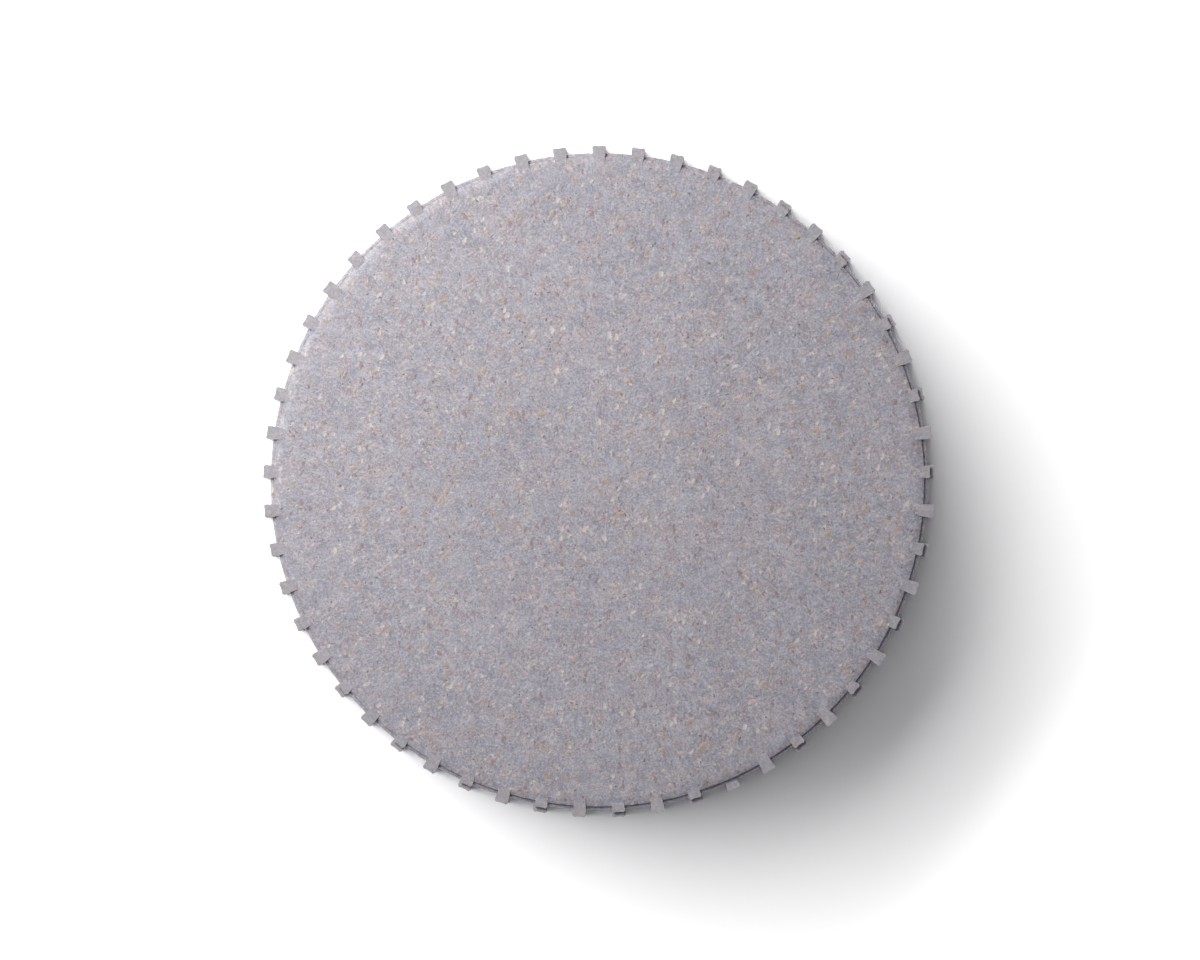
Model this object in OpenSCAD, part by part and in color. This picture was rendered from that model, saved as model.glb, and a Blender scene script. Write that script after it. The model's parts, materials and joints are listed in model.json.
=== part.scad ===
// Turn-lock composite access cover on its collar, for a 600 mm clear opening.
// Millimetres, +Z up, centre of the base at the origin.

/* [Outline] */
// Radius of the collar's rim, the widest plain circle
rim_r = 345; // [335:1:380]
// Thickness of the rim's wall, which stands round the cover
rim_w = 5.5; // [5:0.5:6]
// Height from the base to the middle of the cover
total_h = 90; // [86:1:120]
// Rise of the cover from its edge to its middle, which sheds water
crown = 3; // [2:0.5:6]
// Width of the shoulder, which falls away to the lip over the rim
shoulder_w = 10.2; // [9:0.1:12]
// Radius of the shoulder's curve
round_r = 26; // [20:1:40]

/* [Grip lugs] */
// Number of lug positions round the rim, an odd number
lug_count = 53; // [43:2:57]
// Position that only the collar has, which marks where the cover opens
index_lug = 30; // [10:2:40]
// Reach of the long lugs beyond the rim
lug_reach = 8; // [6:0.5:10]
// Reach of the cover's short lugs beyond the rim
short_reach = 3; // [2:0.5:4]
// Width of a lug at its outer end
lug_w_out = 14.5; // [12:0.5:16]
// Width of a lug where it leaves the shoulder
lug_w_in = 11; // [9:0.5:12]
// Hollow in the end face of a lug
lug_dish = 0.6; // [0:0.1:1]
// Cut across the outer corners of a lug
lug_cut = 1.8; // [1:0.1:2.4]

/* [Lock] */
// Lug pitches that the cover turns to lock
turn_pitches = 4; // [4:1:4]
// Number of tongues and keepers
lock_count = 6; // [6:6:6]
// Width of a tongue
tongue_w = 60; // [40:2:64]
// Angle that a keeper covers
keeper_a = 18; // [14:1:19]

/* [Fixing] */
// Number of anchor holes in the base flange
anchor_count = 12; // [12:12:12]
// Bore of an anchor sleeve
anchor_d = 9; // [6:0.5:9]
// Number of full-length ribs under the cover, with a shorter rib between each two
rib_count = 12; // [6:6:12]

/* [Hidden] */
$fn = 72;
pitch = 360 / lug_count;
turn_a = pitch * turn_pitches;
step_a = 360 / lock_count;
// Radii, from the outside in
lug_r = rim_r + lug_reach;
short_r = rim_r + short_reach;
lip_r = rim_r - 3.8;
rim_in = rim_r - rim_w;
skirt_r = rim_in - 0.8;
skirt_in = skirt_r - 7;
edge_r = lip_r - shoulder_w;
neck_out = rim_r - 14.5;
neck_in = neck_out - 10;
pin_r = rim_r - 31.5;
keeper_in = rim_r - 39;
ring_out = rim_r - 36;
pad_r = rim_r - 42.6;
tongue_r = rim_r - 43;
clear_r = rim_r - 45;
screw_r = rim_r - 56;
pad_in = rim_r - 77;
rib_out = rim_r - 83;
mid_r = rim_r * 0.44;
plate_r = mid_r + 1;
boss_r = rim_r * 0.29;
anchor_r = (clear_r + neck_in) / 2 + 0.25;
// Thicknesses of the metal pieces
plate_t = 4;
washer_t = 1.6;
sleeve_t = 2;
// Heights, from the top down
edge_z = total_h - crown;
lug_z = edge_z - 0.2;
short_z = edge_z - 0.8;
rim_z = edge_z - 4.7;
claw_z = rim_z + 0.5;
lip_z = rim_z + 1;
slab_z = edge_z - 8;
car_top = slab_z - 1;
neck_z = slab_z - 9;
car_z = neck_z + 0.3;
pad_z = slab_z - 9.5;
ring_z = pad_z - 3;
foot_z = ring_z - plate_t;
keeper_top = slab_z - 17;
rib_z = slab_z - 27;
skirt_z = slab_z - 33;
ledge_z = skirt_z - 1.5;
keeper_z = ledge_z + 0.1;
hook_z = keeper_z - 4.6;
flange_z = 12;
// Shapes of the mouldings
rim_round = 2.7;
rib_t = 6;
hub_r = 28;
boss_size_r = 9;
// Directions of the keepers, the sleeves and the glide pads
keeper_a0 = 1.5 - step_a / 2;
sleeve_a0 = keeper_a0 + 15;
glide_a0 = 60 - turn_a / 2;
glide_as = [-27, 0, 27];
// Screws, inserts, pins and pads, and the play round them
play = 0.05;
m6_r = 3;
m6_hole_r = 3.3;
m6_head_r = 5.25;
m6_socket_r = 2.3;
m6_len = 11;
m6_insert_r = 4.45;
m6_insert_h = 9;
m8_r = 4;
m8_hole_r = 4.3;
m8_head_r = 7.5;
m8_len = 20;
m8_insert_r = 5.45;
m8_insert_h = 12;
pin_count = 3;
pin_size_r = 3.97;
glide_size_r = 6;

// Node to build, or all

function lug_a(k) = 90 + k * pitch;
function long_lug(k) = (k % 2) == (k < index_lug ? 0 : 1);
// Point of the crown's curve, from the flat middle at t = 0 to the edge at t = 1
function crown_point(t) = [edge_r * (1 + 5 * t) / 6, total_h - crown * t * (t + 0.4) / 1.4];
function lug_w(r) = lug_w_in + (r - edge_r - 2) * (lug_w_out - lug_w_in) / (lug_r - edge_r - 2);

// One lug, from r0 out to r1, with cut corners and a hollow end
module lug(r0, r1, h) {
  w0 = lug_w(r0) / 2;
  w1 = lug_w(r1) / 2;
  linear_extrude(height = h)
    polygon([
      [r0, -w0], [r1 - lug_cut, -w1], [r1, -w1 + lug_cut], [r1 - lug_dish, -w1 / 3],
      [r1 - lug_dish, w1 / 3], [r1, w1 - lug_cut], [r1 - lug_cut, w1], [r0, w0]
    ]);
}

// Section of a ring, drawn from its inner and outer radius and its two heights
module band(r0, r1, z0, z1) {
  translate([r0, z0]) square([r1 - r0, z1 - z0]);
}

// A ring with a rectangular section
module ring(r0, r1, z0, z1) {
  rotate_extrude() band(r0, r1, z0, z1);
}

// Copies of what follows, at radius r and turned by each angle a0 + k * step
module around(count, r, a0 = 0) {
  for (k = [0 : count - 1])
    rotate([0, 0, a0 + k * 360 / count]) translate([r, 0, 0]) children();
}

// Both tongue screws of every tongue
module at_tongue_screws() {
  for (s = [-4, 4])
    around(lock_count, screw_r, s) children();
}

// Both keeper screws of every keeper, with Z pointing outwards from radius r
module at_keeper_screws(r) {
  for (s = [-5, 5])
    around(lock_count, r, s + keeper_a0)
      translate([0, 0, keeper_z + 10.9]) rotate([0, 90, 0]) children();
}

// The moulded hole for an insert, upwards from height 0
module insert_hole(r, h) {
  translate([0, 0, -1]) cylinder(r = r + play, h = h + 1.2);
}

// A threaded insert, standing on height 0
module insert(r, h, bore_r) {
  difference() {
    cylinder(r = r, h = h);
    translate([0, 0, -1]) cylinder(r = bore_r + play, h = h + 2);
  }
}

// A straight rib under the slab, len long from the origin along X
module rib(len) {
  translate([0, -rib_t / 2, rib_z + 0.5]) cube([len, rib_t, slab_z + 0.5 - rib_z]);
}

module deck_section() {
  crown_line = [for (i = [0 : 5]) crown_point(i / 5)];
  polygon(concat([[0, total_h]], crown_line, [[edge_r, slab_z], [0, slab_z]]));
  intersection() {
    translate([edge_r, edge_z - round_r]) circle(r = round_r);
    union() {
      band(edge_r, skirt_r, slab_z, edge_z + 1);
      band(edge_r, lip_r, lip_z, edge_z + 1);
    }
  }
  band(skirt_in, skirt_r, skirt_z, slab_z + 1);
  band(pad_in, pad_r, pad_z, slab_z + 1);
  band(rib_out, pad_in + 1, rib_z, slab_z + 1);
  for (r = [mid_r / 2, mid_r, (mid_r + rib_out) / 2])
    band(r - rib_t, r, rib_z, slab_z + 1);
  band(0, hub_r, rib_z, slab_z + 1);
}

module deck() {
  color([0.66, 0.64, 0.67])
    difference() {
      union() {
        rotate_extrude() deck_section();
        for (k = [0 : lug_count - 1])
          if (k != index_lug)
            rotate([0, 0, lug_a(k)]) translate([0, 0, claw_z])
              lug(edge_r + 1.7, long_lug(k) ? lug_r : short_r, (long_lug(k) ? lug_z : short_z) - claw_z);
        around(rib_count, 20) rib(rib_out - 18);
        around(rib_count, mid_r / 2 - rib_t / 2, 180 / rib_count) rib(rib_out + 5 - mid_r / 2);
        around(lock_count, boss_r)
          translate([0, 0, rib_z]) cylinder(r = boss_size_r, h = slab_z + 1 - rib_z);
      }
      ring(skirt_in + 2, skirt_in + 5, skirt_z - 1, skirt_z + 4);
      at_tongue_screws() translate([0, 0, pad_z]) insert_hole(m8_insert_r, m8_insert_h);
      around(lock_count, screw_r, step_a / 2)
        translate([0, 0, pad_z]) insert_hole(m6_insert_r, m6_insert_h);
      around(lock_count, boss_r) translate([0, 0, rib_z]) insert_hole(m6_insert_r, m6_insert_h);
      around(pin_count, pin_r) translate([0, 0, slab_z - 1]) cylinder(r = pin_size_r + 0.03, h = 6.5);
    }
}

module grit_seal() {
  color([0.08, 0.08, 0.09])
    rotate_extrude() {
      band(skirt_in + 2.05, skirt_in + 4.95, skirt_z - 0.8, skirt_z + 3.9);
      translate([skirt_in + 3.5, skirt_z - 0.5]) circle(r = 0.7);
    }
}

module m8_inserts() {
  color([0.72, 0.56, 0.27])
    at_tongue_screws() translate([0, 0, pad_z + 0.1]) insert(m8_insert_r, m8_insert_h, m8_r);
}

module m6_inserts() {
  color([0.72, 0.56, 0.27]) {
    around(lock_count, screw_r, step_a / 2)
      translate([0, 0, pad_z + 0.1]) insert(m6_insert_r, m6_insert_h, m6_r);
    around(lock_count, boss_r) translate([0, 0, rib_z + 0.1]) insert(m6_insert_r, m6_insert_h, m6_r);
  }
}

module retainer_ring() {
  color([0.6, 0.62, 0.64])
    difference() {
      ring(pad_in + 3, ring_out, ring_z, pad_z - 0.05);
      at_tongue_screws() translate([0, 0, ring_z - 1]) cylinder(r = m8_hole_r, h = 6);
      around(lock_count, screw_r, step_a / 2)
        translate([0, 0, ring_z - 1]) cylinder(r = m6_hole_r, h = 6);
    }
}

// Side view of a tongue: foot, stem and hook, with rounded bends
module tongue_section() {
  x0 = screw_r - 13;
  x1 = keeper_in + 9.3;
  difference() {
    union() {
      band(x0, tongue_r - plate_t, foot_z, ring_z - play);
      band(tongue_r - plate_t, tongue_r, hook_z + plate_t, foot_z);
      band(tongue_r, x1, hook_z, hook_z + plate_t);
      translate([tongue_r - plate_t, foot_z]) intersection() {
        circle(r = plate_t - play);
        square([plate_t, plate_t]);
      }
      translate([tongue_r, hook_z + plate_t]) intersection() {
        circle(r = plate_t);
        translate([-plate_t, -plate_t]) square([plate_t, plate_t]);
      }
    }
    translate([x1, hook_z]) rotate([0, 0, 45]) square([1.6, 1.6], center = true);
  }
}

module tongues() {
  color([0.62, 0.63, 0.65])
    around(lock_count, 0)
      difference() {
        translate([0, tongue_w / 2, 0]) rotate([90, 0, 0])
          linear_extrude(height = tongue_w) tongue_section();
        for (s = [-4, 4])
          rotate([0, 0, s]) translate([screw_r, 0, foot_z - 1]) cylinder(r = m8_hole_r, h = 6);
      }
}

module tongue_washers() {
  color([0.7, 0.71, 0.73])
    at_tongue_screws() translate([0, 0, foot_z - washer_t]) insert(8, washer_t, m8_r + 0.15);
}

module tongue_screws() {
  color([0.7, 0.71, 0.73])
    at_tongue_screws() translate([0, 0, foot_z - washer_t - 5.3]) {
      cylinder(r = m8_head_r, h = 5.3, $fn = 6);
      translate([0, 0, 5]) cylinder(r = m8_r, h = m8_len);
    }
}

// A button-head M6 screw, head down, with its seat at height 0
module button_screw() {
  difference() {
    union() {
      translate([0, 0, -2]) cylinder(r = m6_head_r, h = 2);
      translate([0, 0, -3.3]) cylinder(r1 = 3.6, r2 = m6_head_r, h = 1.31);
      translate([0, 0, -0.5]) cylinder(r = m6_r, h = m6_len + 0.5);
    }
    translate([0, 0, -4.3]) cylinder(r = m6_socket_r, h = 3, $fn = 6);
  }
}

module ring_screws() {
  color([0.7, 0.71, 0.73])
    around(lock_count, screw_r, step_a / 2) translate([0, 0, ring_z]) button_screw();
}

module tension_plate() {
  color([0.6, 0.62, 0.64])
    difference() {
      translate([0, 0, rib_z - plate_t - play]) cylinder(r = plate_r, h = plate_t);
      around(lock_count, boss_r) {
        translate([0, 0, rib_z - 6]) cylinder(r = m6_hole_r, h = 8);
        translate([0, 0, rib_z - 5 - play]) cylinder(r1 = m6_hole_r + 4, r2 = m6_hole_r, h = 4);
      }
      around(lock_count, plate_r * 0.3, step_a / 2) translate([0, 0, rib_z - 6]) cylinder(r = 8, h = 8);
    }
}

module plate_screws() {
  color([0.7, 0.71, 0.73])
    around(lock_count, boss_r) translate([0, 0, rib_z - plate_t - play])
      difference() {
        union() {
          cylinder(r1 = 6.2, r2 = m6_r, h = 3.2);
          translate([0, 0, 3]) cylinder(r = m6_r, h = 9);
        }
        translate([0, 0, -1]) cylinder(r = m6_socket_r, h = 3, $fn = 6);
      }
}

module stop_pins() {
  color([0.7, 0.71, 0.73])
    around(pin_count, pin_r)
      translate([0, 0, car_z + 0.7]) cylinder(r = pin_size_r, h = slab_z + 4.7 - car_z);
}

// The arc slot in which a stop pin runs, over the whole turn
module pin_slot() {
  rotate([0, 0, -turn_a - 0.76])
    rotate_extrude(angle = turn_a + 1.52) band(pin_r - 4.5, pin_r + 4.5, car_z - 1, car_top + 1);
}

module carrier() {
  color([0.16, 0.17, 0.18])
    difference() {
      union() {
        rotate_extrude() band(pad_r + 0.3, skirt_in - 0.5, car_z, car_top);
        intersection() {
          ring(neck_in - 3.5, neck_in + 3.2, car_z - 12.3, car_z + 1);
          around(pin_count, neck_in, 60) translate([-10, -15, 0]) cube([20, 30, total_h]);
        }
      }
      ring(neck_in + 4.4, neck_in + 9.1, car_z - 1, car_z + 4.2);
      for (k = [0 : pin_count - 1])
        rotate([0, 0, k * 360 / pin_count]) pin_slot();
      for (s = glide_as)
        around(pin_count, pin_r, s + glide_a0)
          translate([0, 0, car_top - 3.4]) cylinder(r = glide_size_r + play, h = 6);
    }
}

module lip_seal() {
  color([0.08, 0.08, 0.09])
    rotate_extrude() {
      band(neck_in + 4.5, neck_in + 9, car_z + 0.7, car_z + 4.1);
      translate([neck_in + 5.6, car_z + 0.9]) circle(r = 0.9);
      translate([neck_in + 7.9, car_z + 0.9]) circle(r = 0.9);
    }
}

module glide_pads() {
  color([0.92, 0.91, 0.88])
    for (s = glide_as)
      around(pin_count, pin_r, s + glide_a0)
        translate([0, 0, car_top - 3.3]) cylinder(r = glide_size_r, h = slab_z - car_top + 3);
}

module collar_section() {
  intersection() {
    translate([rim_r - rim_round, rim_z - rim_round]) circle(r = rim_round);
    band(rim_r - rim_round, rim_r + 1, rim_z - rim_round, rim_z + 1);
  }
  band(rim_in, rim_r - rim_round, ledge_z - 1, rim_z);
  band(rim_r - rim_round, rim_r, ledge_z - 1, rim_z - rim_round);
  difference() {
    polygon([
      [clear_r + 1, 0], [rim_r, 0], [rim_r, ledge_z], [neck_out, ledge_z],
      [neck_out, neck_z - 1], [neck_out - 1, neck_z], [neck_in + 1, neck_z],
      [neck_in, neck_z - 1], [neck_in, flange_z], [clear_r + 1, flange_z],
      [clear_r, flange_z - 1], [clear_r, 1]
    ]);
    band(neck_in + 1.9, neck_in + 7.1, -1, 5.1);
  }
}

module collar() {
  color([0.64, 0.62, 0.66])
    difference() {
      union() {
        rotate_extrude() collar_section();
        for (k = [0 : lug_count - 1])
          rotate([0, 0, lug_a(k)]) lug(rim_r - 2, lug_r, rim_z - 0.5);
      }
      difference() {
        ring(neck_out, neck_out + 8, -1, ledge_z - 10.5);
        around(18, neck_out - 2, 5) translate([0, -3, -2]) cube([12, 6, total_h]);
      }
      around(pin_count, neck_in, 60) translate([-2, -15.4, neck_z - 12.5]) cube([5.8, 30.8, 20]);
      at_keeper_screws(neck_in - 1) cylinder(r = m6_insert_r + play, h = 10);
      around(anchor_count, anchor_r, sleeve_a0) translate([0, 0, -1])
        cylinder(r = anchor_d / 2 + sleeve_t + play, h = flange_z + 2);
    }
}

module base_gasket() {
  color([0.08, 0.08, 0.09]) ring(neck_in + 2, neck_in + 7, 0, 5);
}

module anchor_sleeves() {
  color([0.7, 0.71, 0.73])
    around(anchor_count, anchor_r, sleeve_a0)
      difference() {
        cylinder(r = anchor_d / 2 + sleeve_t, h = flange_z);
        translate([0, 0, -1]) cylinder(d = anchor_d, h = flange_z + 2);
      }
}

module keepers() {
  color([0.62, 0.63, 0.65])
    difference() {
      for (k = [0 : lock_count - 1])
        rotate([0, 0, k * step_a + keeper_a0 - keeper_a / 2])
          rotate_extrude(angle = keeper_a) {
            band(keeper_in, neck_in - 0.1, keeper_z, keeper_z + plate_t);
            band(neck_in - 3.1, neck_in - 0.1, keeper_z + plate_t, keeper_top);
          }
      at_keeper_screws(neck_in - 6) cylinder(r = m6_hole_r, h = 10);
    }
}

module keeper_screws() {
  color([0.7, 0.71, 0.73]) at_keeper_screws(neck_in - 3.2) button_screw();
}

module keeper_inserts() {
  color([0.72, 0.56, 0.27]) at_keeper_screws(neck_in + 0.3) insert(m6_insert_r, m6_insert_h - 0.6, m6_r);
}

collar();
base_gasket();
anchor_sleeves();
keepers();
keeper_screws();
keeper_inserts();
carrier();
lip_seal();
glide_pads();
deck();
grit_seal();
retainer_ring();
tongues();
tongue_screws();
tongue_washers();
m8_inserts();
ring_screws();
m6_inserts();
tension_plate();
plate_screws();
stop_pins();
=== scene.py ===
"""Looks for the turn-lock manhole cover: materials, rounded edges, floor, light and camera.

Everything is in metres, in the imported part's own frame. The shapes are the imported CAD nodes, with their
edges rounded by modifiers. The materials are all procedural.
"""

import json
import math

import bpy
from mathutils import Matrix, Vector


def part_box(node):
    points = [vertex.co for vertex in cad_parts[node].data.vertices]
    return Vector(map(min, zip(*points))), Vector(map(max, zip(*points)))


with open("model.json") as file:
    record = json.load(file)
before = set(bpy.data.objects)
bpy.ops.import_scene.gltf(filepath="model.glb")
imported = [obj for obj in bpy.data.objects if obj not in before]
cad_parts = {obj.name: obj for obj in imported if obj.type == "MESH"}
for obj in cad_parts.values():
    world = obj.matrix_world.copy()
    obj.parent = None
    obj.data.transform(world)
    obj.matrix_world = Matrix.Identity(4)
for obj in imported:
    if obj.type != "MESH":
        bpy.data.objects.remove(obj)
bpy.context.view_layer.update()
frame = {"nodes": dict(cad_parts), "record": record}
MM = 0.001

# ---------------------------------------------------------------- places on the part
COLLAR_LOW, COLLAR_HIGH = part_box("collar")
LUG_RADIUS = (COLLAR_HIGH[0] - COLLAR_LOW[0]) / 2
TOP_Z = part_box("deck")[1][2]
# the deck's crown, and the shoulder that curves down outside it
CROWN = 3 * MM
EDGE_Z = TOP_Z - CROWN
SHOULDER_RADIUS = LUG_RADIUS - 22 * MM
SHOULDER_CURVE = 26 * MM


# ---------------------------------------------------------------- node graph helper
class Graph:
    """Builds one material's node tree, one node per call."""

    def __init__(self, name):
        self.material = bpy.data.materials.new(name)
        self.material.use_nodes = True
        self.tree = self.material.node_tree
        self.tree.nodes.clear()
        self.output = self.node("ShaderNodeOutputMaterial")
        self.shader = self.node("ShaderNodeBsdfPrincipled")
        self.tree.links.new(self.shader.outputs[0], self.output.inputs[0])
        self.coords = self.node("ShaderNodeTexCoord").outputs["Object"]

    def node(self, kind, inputs=None, **settings):
        made = self.tree.nodes.new(kind)
        for key, value in settings.items():
            setattr(made, key, value)
        for key, value in (inputs or {}).items():
            self.put(made.inputs[key], value)
        return made

    def put(self, socket, value):
        if isinstance(value, bpy.types.NodeSocket):
            self.tree.links.new(value, socket)
        else:
            socket.default_value = value

    def math(self, operation, a, b):
        return self.node("ShaderNodeMath", {0: a, 1: b}, operation=operation).outputs[0]

    def vector(self, operation, a, b=(0.0, 0.0, 0.0), scale=None):
        inputs = {0: a}
        if scale is None:
            inputs[1] = b
        else:
            inputs["Scale"] = scale
        made = self.node("ShaderNodeVectorMath", inputs, operation=operation)
        return made.outputs["Value" if operation == "LENGTH" else 0]

    def noise(self, vector, scale, detail=2.0, roughness=0.5, distortion=0.0):
        inputs = {
            "Vector": vector, "Scale": scale, "Detail": detail, "Roughness": roughness, "Distortion": distortion,
        }
        return self.node("ShaderNodeTexNoise", inputs).outputs["Fac"]

    def remap(self, value, low, high, to_low=0.0, to_high=1.0, smooth=False):
        made = self.node(
            "ShaderNodeMapRange",
            {"Value": value, "From Min": low, "From Max": high, "To Min": to_low, "To Max": to_high},
            interpolation_type="SMOOTHSTEP" if smooth else "LINEAR",
        )
        return made.outputs[0]

    def steps(self, value, stops):
        """Picks one of several colours, each from its place up to the next one's."""
        made = self.node("ShaderNodeValToRGB", {"Fac": value})
        made.color_ramp.interpolation = "CONSTANT"
        elements = made.color_ramp.elements
        while len(elements) < len(stops):
            elements.new(0.5)
        for element, (place, colour) in zip(elements, stops):
            element.position = place
            element.color = (*colour, 1.0)
        return made.outputs[0]

    def mix(self, factor, a, b, blend="MIX"):
        made = self.node("ShaderNodeMix", data_type="RGBA", blend_type=blend)
        self.put(made.inputs[0], factor)
        self.put(made.inputs[6], a if isinstance(a, bpy.types.NodeSocket) else (*a, 1.0))
        self.put(made.inputs[7], b if isinstance(b, bpy.types.NodeSocket) else (*b, 1.0))
        return made.outputs[2]

    def bump(self, height, distance, strength):
        inputs = {"Height": height, "Distance": distance, "Strength": strength}
        return self.node("ShaderNodeBump", inputs).outputs[0]

    def surface(self, **values):
        names = {"color": "Base Color", "specular": "Specular IOR Level"}
        for key, value in values.items():
            self.put(self.shader.inputs[names.get(key, key.title())], value)
        return self.material


def srgb(red, green, blue):
    """Linear colour from 0 to 255 display values."""
    def linear(c):
        c /= 255
        return c / 12.92 if c <= 0.04045 else ((c + 0.055) / 1.055) ** 2.4
    return linear(red), linear(green), linear(blue)


# ---------------------------------------------------------------- materials
def flakes(g, spacing, half_length, half_width, share, offset):
    """Flat chips, one at most in each Voronoi cell, turned at random about Z, with ragged edges.

    share is the part of the cells that hold a chip, and offset sets one layer's chips apart from another's.
    Returns the chips' mask, a random value for each chip and the place across it from -1 to 1.
    """
    scaled = g.vector("SCALE", g.coords, scale=1 / spacing)
    scaled = g.vector("ADD", scaled, (offset, offset * 1.7, offset * 0.6))
    cell = g.node("ShaderNodeTexVoronoi", {"Vector": scaled, "Scale": 1.0, "Randomness": 1.0})
    dice = g.node("ShaderNodeTexWhiteNoise", {"Vector": cell.outputs["Position"]}, noise_dimensions="3D")
    turn, grow, draw = g.node("ShaderNodeSeparateColor", {"Color": dice.outputs["Color"]}).outputs[:3]
    away = g.vector("SUBTRACT", scaled, cell.outputs["Position"])
    turned = g.node(
        "ShaderNodeVectorRotate",
        {"Vector": away, "Angle": g.math("MULTIPLY", turn, math.tau)},
        rotation_type="Z_AXIS",
    ).outputs[0]
    half_size = (half_length, half_width, 0.5 * spacing)
    stretched = g.vector("MULTIPLY", turned, tuple(spacing / h for h in half_size))
    size = g.remap(grow, 0.0, 1.0, 0.5, 1.2)
    place = g.vector("DIVIDE", stretched, g.node("ShaderNodeCombineXYZ", {0: size, 1: size, 2: 1.0}).outputs[0])
    ragged = g.noise(g.coords, 0.8 / half_width, detail=2.0)
    reach = g.math("ADD", g.vector("LENGTH", place), g.remap(ragged, 0.25, 0.75, -0.55, 0.55))
    shape = g.remap(reach, 1.05, 0.6, smooth=True)
    mask = g.math("MULTIPLY", shape, g.math("LESS_THAN", draw, share))
    across = g.node("ShaderNodeSeparateXYZ", {0: place}).outputs[1]
    return mask, dice.outputs["Value"], across


def flow_lines(g, radius, x, y, lines, length, seed):
    """Noise drawn out along the radius, which shows how the compound spread in the mould."""
    gate_radius = 5 * MM
    safe_radius = g.math("MAXIMUM", radius, gate_radius)
    bend = g.remap(g.noise(g.coords, 14.0, detail=2.0), 0.0, 1.0, -0.06, 0.06)
    place = g.node(
        "ShaderNodeCombineXYZ",
        {
            0: g.math("MULTIPLY", g.math("ADD", g.math("DIVIDE", x, safe_radius), bend), lines),
            1: g.math("MULTIPLY", g.math("ADD", g.math("DIVIDE", y, safe_radius), bend), lines),
            2: g.math("ADD", g.math("DIVIDE", radius, length), seed),
        },
    ).outputs[0]
    return g.noise(place, 1.0, detail=3.0, roughness=0.65)


# layers of chips: spacing, half length and half width in millimetres, then share of cells, offset, strength,
# and the colours, each with the random value from which it holds
CHIPS = (
    (3.6, 1.5, 0.65, 0.7, 3.1, 0.5, (
        (0.0, (192, 190, 200)), (0.35, (216, 212, 216)), (0.58, (134, 126, 136)), (0.85, (176, 168, 168)))),
    (6.0, 2.8, 1.4, 0.75, 7.7, 0.6, (
        (0.0, (202, 184, 190)), (0.28, (220, 212, 208)), (0.46, (176, 158, 148)), (0.68, (142, 122, 124)),
        (0.86, (186, 168, 150)))),
    (9.6, 4.2, 2.2, 0.72, 11.3, 0.7, (
        (0.0, (202, 184, 178)), (0.22, (224, 213, 205)), (0.4, (178, 154, 142)), (0.62, (152, 126, 124)),
        (0.8, (190, 164, 136)))),
    (8.0, 1.8, 1.0, 0.2, 19.9, 0.75, ((0.0, (96, 84, 88)), (0.5, (114, 98, 96)))),
)
CHIP_RELIEF = 0.45  # for each millimetre of a chip's half width


def lug_mask(g, radius, z):
    """1 on whatever stands above the curve of the shoulder, which is the lugs alone."""
    beyond = g.math("MAXIMUM", g.math("SUBTRACT", radius, SHOULDER_RADIUS), 0.0)
    fall = g.math("DIVIDE", g.math("MULTIPLY", beyond, beyond), 2 * SHOULDER_CURVE)
    proud = g.remap(g.math("ADD", z, fall), EDGE_Z + 0.3 * MM, EDGE_Z + 0.8 * MM)
    return g.math("MULTIPLY", proud, g.math("GREATER_THAN", radius, SHOULDER_RADIUS))


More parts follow.
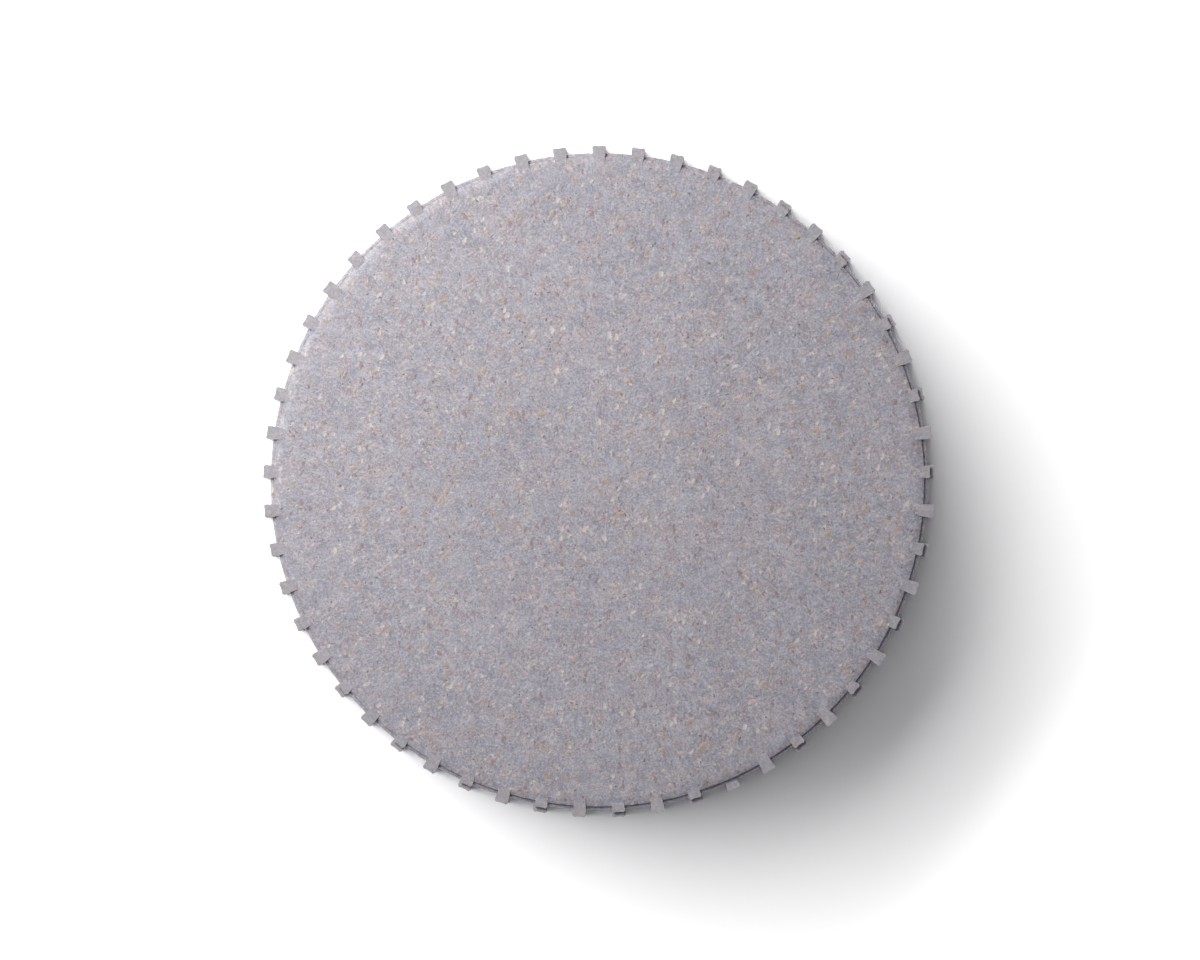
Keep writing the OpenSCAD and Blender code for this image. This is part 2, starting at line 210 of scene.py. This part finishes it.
def composite():
    """Moulding compound: grey matrix with fine fibres and flow lines, full of plant chips."""
    g = Graph("flake_composite")
    x, y, z = g.node("ShaderNodeSeparateXYZ", {0: g.coords}).outputs[:3]
    radius = g.vector("LENGTH", g.node("ShaderNodeCombineXYZ", {0: x, 1: y, 2: 0.0}).outputs[0])
    inner = flow_lines(g, radius, x, y, 30.0, 12 * MM, 0.0)
    outer = flow_lines(g, radius, x, y, 110.0, 14 * MM, 40.0)
    outward = g.remap(radius, 60 * MM, 220 * MM, smooth=True)
    streaks = g.node("ShaderNodeMix", {0: outward, 2: inner, 3: outer}, data_type="FLOAT").outputs[0]
    clouds = g.noise(g.coords, 11.0, detail=3.0, roughness=0.6)
    warm = g.noise(g.vector("ADD", g.coords, (3.0, 1.0, 2.0)), 60.0, detail=3.0, roughness=0.6)
    tufts = g.noise(g.vector("ADD", g.coords, (5.0, 4.0, 1.0)), 95.0, detail=2.0, roughness=0.5)
    fibres = g.noise(g.coords, 170.0, detail=4.0, roughness=0.62, distortion=2.4)
    grain = g.noise(g.coords, 480.0, detail=1.0, roughness=0.5)

    color = g.mix(g.remap(clouds, 0.3, 0.7), srgb(152, 151, 165), srgb(163, 161, 174))
    color = g.mix(g.remap(warm, 0.42, 0.68, 0.0, 0.65), color, srgb(174, 161, 163))
    color = g.mix(g.remap(tufts, 0.5, 0.72, 0.0, 0.4), color, srgb(190, 187, 196))
    color = g.mix(g.remap(tufts, 0.5, 0.28, 0.0, 0.35), color, srgb(128, 122, 134))
    color = g.mix(g.remap(streaks, 0.46, 0.72, 0.0, 0.3), color, srgb(212, 209, 220))
    color = g.mix(g.remap(fibres, 0.5, 0.72, 0.0, 0.55), color, srgb(212, 209, 219))
    color = g.mix(g.remap(fibres, 0.5, 0.3, 0.0, 0.45), color, srgb(110, 104, 117))
    color = g.mix(g.remap(grain, 0.5, 0.75, 0.0, 0.3), color, srgb(214, 212, 220))
    color = g.mix(g.remap(grain, 0.5, 0.25, 0.0, 0.3), color, srgb(112, 106, 118))

    relief = g.math("ADD", g.math("MULTIPLY", fibres, 0.8), g.math("MULTIPLY", grain, 0.3))
    lug = lug_mask(g, radius, z)
    patches = g.math("MULTIPLY", g.remap(warm, 0.4, 0.62, 0.35, 1.45), g.remap(lug, 0.0, 1.0, 1.0, 0.2))
    for spacing, half_length, half_width, share, offset, strength, colours in CHIPS:
        filled = g.math("MULTIPLY", patches, share)
        mask, dice, across = flakes(g, spacing * MM, half_length * MM, half_width * MM, filled, offset)
        tint = g.steps(dice, [(place, srgb(*colour)) for place, colour in colours])
        # painted shade and highlight: each chip is darkened towards one side as a painted shadow of its edge, and
        # lightened towards the other as a painted lit ridge
        painted_chip_shade = g.remap(across, -0.9, 0.9, 0.7, 1.2)
        shade = g.node("ShaderNodeCombineColor", {0: painted_chip_shade, 1: painted_chip_shade, 2: painted_chip_shade}).outputs[0]
        tint = g.mix(1.0, tint, shade, "MULTIPLY")
        color = g.mix(g.math("MULTIPLY", mask, strength), color, tint)
        relief = g.math("ADD", relief, g.math("MULTIPLY", mask, CHIP_RELIEF * half_width))
    color = g.mix(g.math("MULTIPLY", lug, 0.4), color, srgb(169, 166, 169))
    gloss = g.remap(clouds, 0.3, 0.7, 0.4, 0.48)
    return g.surface(color=color, roughness=gloss, specular=0.5, normal=g.bump(relief, 0.16 * MM, 0.8))


def rubber():
    """Black sealing rubber with a dusty bloom and fine moulding texture."""
    g = Graph("black_rubber")
    bloom = g.noise(g.coords, 60.0, detail=4.0, roughness=0.65)
    pores = g.noise(g.coords, 1400.0, detail=2.0)
    color = g.mix(g.remap(bloom, 0.4, 0.75), srgb(33, 33, 35), srgb(62, 61, 62))
    return g.surface(
        color=color, roughness=g.remap(bloom, 0.3, 0.8, 0.62, 0.85), specular=0.35,
        normal=g.bump(pores, 0.05 * MM, 0.5),
    )


def galvanised():
    """Zinc-dipped steel: spangles of slightly different grey and gloss."""
    g = Graph("galvanised_steel")
    wander = g.node("ShaderNodeTexNoise", {"Vector": g.coords, "Scale": 60.0}).outputs["Color"]
    drift = g.vector("ADD", g.coords, g.vector("SCALE", wander, scale=6 * MM))
    cell = g.node("ShaderNodeTexVoronoi", {"Vector": drift, "Scale": 95.0})
    dice = g.node("ShaderNodeSeparateColor", {"Color": cell.outputs["Color"]}).outputs[0]
    stain = g.noise(g.coords, 14.0, detail=5.0, roughness=0.7)
    color = g.mix(dice, srgb(150, 154, 158), srgb(186, 189, 192))
    color = g.mix(g.remap(stain, 0.52, 0.78, 0.0, 0.6), color, srgb(206, 207, 205))
    rough = g.math("ADD", g.remap(dice, 0.0, 1.0, 0.34, 0.5), g.remap(stain, 0.5, 0.8, 0.0, 0.2))
    return g.surface(color=color, metallic=1.0, roughness=rough, normal=g.bump(stain, 0.2 * MM, 0.3))


def stainless():
    """Rolled stainless steel with a fine directional grain."""
    g = Graph("stainless_steel")
    stretched = g.vector("MULTIPLY", g.coords, (1.0, 1.0, 14.0))
    grain = g.noise(stretched, 260.0, detail=3.0, roughness=0.7)
    smudge = g.noise(g.coords, 30.0, detail=3.0)
    color = g.mix(g.remap(smudge, 0.35, 0.7), srgb(196, 196, 198), srgb(176, 176, 177))
    rough = g.math("ADD", g.remap(grain, 0.3, 0.7, 0.24, 0.36), g.remap(smudge, 0.5, 0.8, 0.0, 0.14))
    return g.surface(color=color, metallic=1.0, roughness=rough, normal=g.bump(grain, 0.03 * MM, 0.5))


def brass():
    """Turned brass, a little tarnished."""
    g = Graph("turned_brass")
    tarnish = g.noise(g.coords, 90.0, detail=4.0, roughness=0.6)
    color = g.mix(g.remap(tarnish, 0.4, 0.75), srgb(214, 178, 104), srgb(158, 118, 62))
    return g.surface(color=color, metallic=1.0, roughness=g.remap(tarnish, 0.3, 0.7, 0.26, 0.46))


def carrier_plastic():
    """Dark glass-filled nylon with a fine spark texture."""
    g = Graph("filled_nylon")
    swirl = g.noise(g.coords, 28.0, detail=4.0, roughness=0.6, distortion=0.6)
    spark = g.noise(g.coords, 900.0, detail=2.0)
    color = g.mix(g.remap(swirl, 0.35, 0.7), srgb(52, 54, 57), srgb(72, 74, 77))
    return g.surface(
        color=color, roughness=g.remap(swirl, 0.3, 0.7, 0.42, 0.58), specular=0.45,
        normal=g.bump(spark, 0.06 * MM, 0.6),
    )


def pad_plastic():
    """Ivory acetal, smooth, with slight scuffs."""
    g = Graph("acetal")
    scuff = g.noise(g.coords, 160.0, detail=4.0, roughness=0.7)
    color = g.mix(g.remap(scuff, 0.45, 0.75), srgb(236, 233, 222), srgb(214, 209, 196))
    return g.surface(color=color, roughness=g.remap(scuff, 0.3, 0.8, 0.25, 0.45), specular=0.5)


MATERIALS = {
    "composite": composite(),
    "seal_rubber": rubber(),
    "zinc_steel": galvanised(),
    "stainless": stainless(),
    "brass": brass(),
    "carrier_plastic": carrier_plastic(),
    "pad_plastic": pad_plastic(),
}

# nodes whose edges are rounded, by this width; the others have crisp edges
ROUNDED = ("deck", "collar")
ROUNDING = 1.0 * MM

for entry in frame["record"]["subparts"]:
    piece = frame["nodes"][entry["node"]]
    for slot in piece.material_slots:
        slot.material = MATERIALS[entry["material_slot"]]
    if entry["node"] in ROUNDED:
        weld = piece.modifiers.new("weld", "WELD")
        weld.merge_threshold = 0.01 * MM
        bevel = piece.modifiers.new("round", "BEVEL")
        bevel.width = ROUNDING
        bevel.segments = 3
        bevel.limit_method = "ANGLE"
        bevel.angle_limit = math.radians(32)
        bevel.harden_normals = True


# ---------------------------------------------------------------- floor, light and camera
def studio_floor():
    bpy.ops.mesh.primitive_plane_add(size=60.0, location=(0, 0, 0))
    floor = bpy.context.object
    floor.name = "floor"
    g = Graph("studio_floor")
    mottle = g.noise(g.coords, 3.0, detail=2.0)
    floor.data.materials.append(g.surface(
        color=g.mix(g.remap(mottle, 0.3, 0.7), (0.9, 0.9, 0.9), (0.91, 0.91, 0.91)), roughness=0.9, specular=0.1))
    return floor


def linked_group(name, obj, state):
    """A light group that holds one object, either as the only one lit or as the only one left out."""
    group = bpy.data.collections.new(name)
    group.objects.link(obj)
    group.collection_objects[0].light_linking.link_state = state
    return group


def area_light(name, azimuth, elevation, distance, size, watts, group, color=(1, 1, 1)):
    """A softbox that looks at the part from azimuth (anticlockwise from +X) and elevation, in degrees.

    It lights only what its group says.
    """
    light = bpy.data.lights.new(name, "AREA")
    light.shape = "RECTANGLE"
    light.size, light.size_y = size
    light.energy = watts
    light.color = color
    made = bpy.data.objects.new(name, light)
    bpy.context.collection.objects.link(made)
    turn, rise = math.radians(azimuth), math.radians(elevation)
    flat = distance * math.cos(rise)
    made.location = (flat * math.cos(turn), flat * math.sin(turn), distance * math.sin(rise))
    made.rotation_euler = (Vector((0, 0, TOP_Z / 2)) - made.location).to_track_quat("-Z", "Y").to_euler()
    made.visible_camera = False
    made.light_linking.receiver_collection = group


def top_camera():
    """Straight above on a long lens, with the lugs across lug_share of the picture's width."""
    lug_share = 0.5603
    aside, along = 1.0 * MM, 1.6 * MM
    camera = bpy.data.cameras.new("camera")
    camera.lens = 400.0
    camera.sensor_width = 36.0
    camera.clip_end = 60.0
    distance = (2 * LUG_RADIUS / lug_share) * camera.lens / camera.sensor_width
    made = bpy.data.objects.new("camera", camera)
    bpy.context.collection.objects.link(made)
    made.location = (aside, along, COLLAR_HIGH[2] + distance)
    bpy.context.scene.camera = made


def world_light(strength):
    world = bpy.data.worlds.new("studio")
    world.use_nodes = True
    background = world.node_tree.nodes["Background"]
    background.inputs["Color"].default_value = (0.95, 0.96, 1.02, 1.0)
    background.inputs["Strength"].default_value = strength
    bpy.context.scene.world = world


floor = studio_floor()
only_floor = linked_group("only_floor", floor, "INCLUDE")
all_but_floor = linked_group("all_but_floor", floor, "EXCLUDE")
world_light(0.16)
area_light(
    "key", azimuth=139, elevation=51, distance=2.2, size=(1.3, 1.3), watts=53.0, group=all_but_floor,
    color=(1.0, 0.99, 0.955),
)
# the floor's own lights burn it out to white and leave one soft shadow, opposite this azimuth
FLOOR_AZIMUTH = 143
for name, elevation, distance, size, watts in (
    ("floor_low", 15, 6.0, (24.0, 2.8), 3820.0),
    ("floor_mid", 35.4, 6.0, (10.8, 3.8), 440.0),
    ("floor_fill", 90, 3.0, (4.2, 4.2), 28.0),
):
    area_light(name, FLOOR_AZIMUTH, elevation, distance, size, watts, only_floor)
top_camera()
bpy.context.scene.view_settings.view_transform = "Standard"
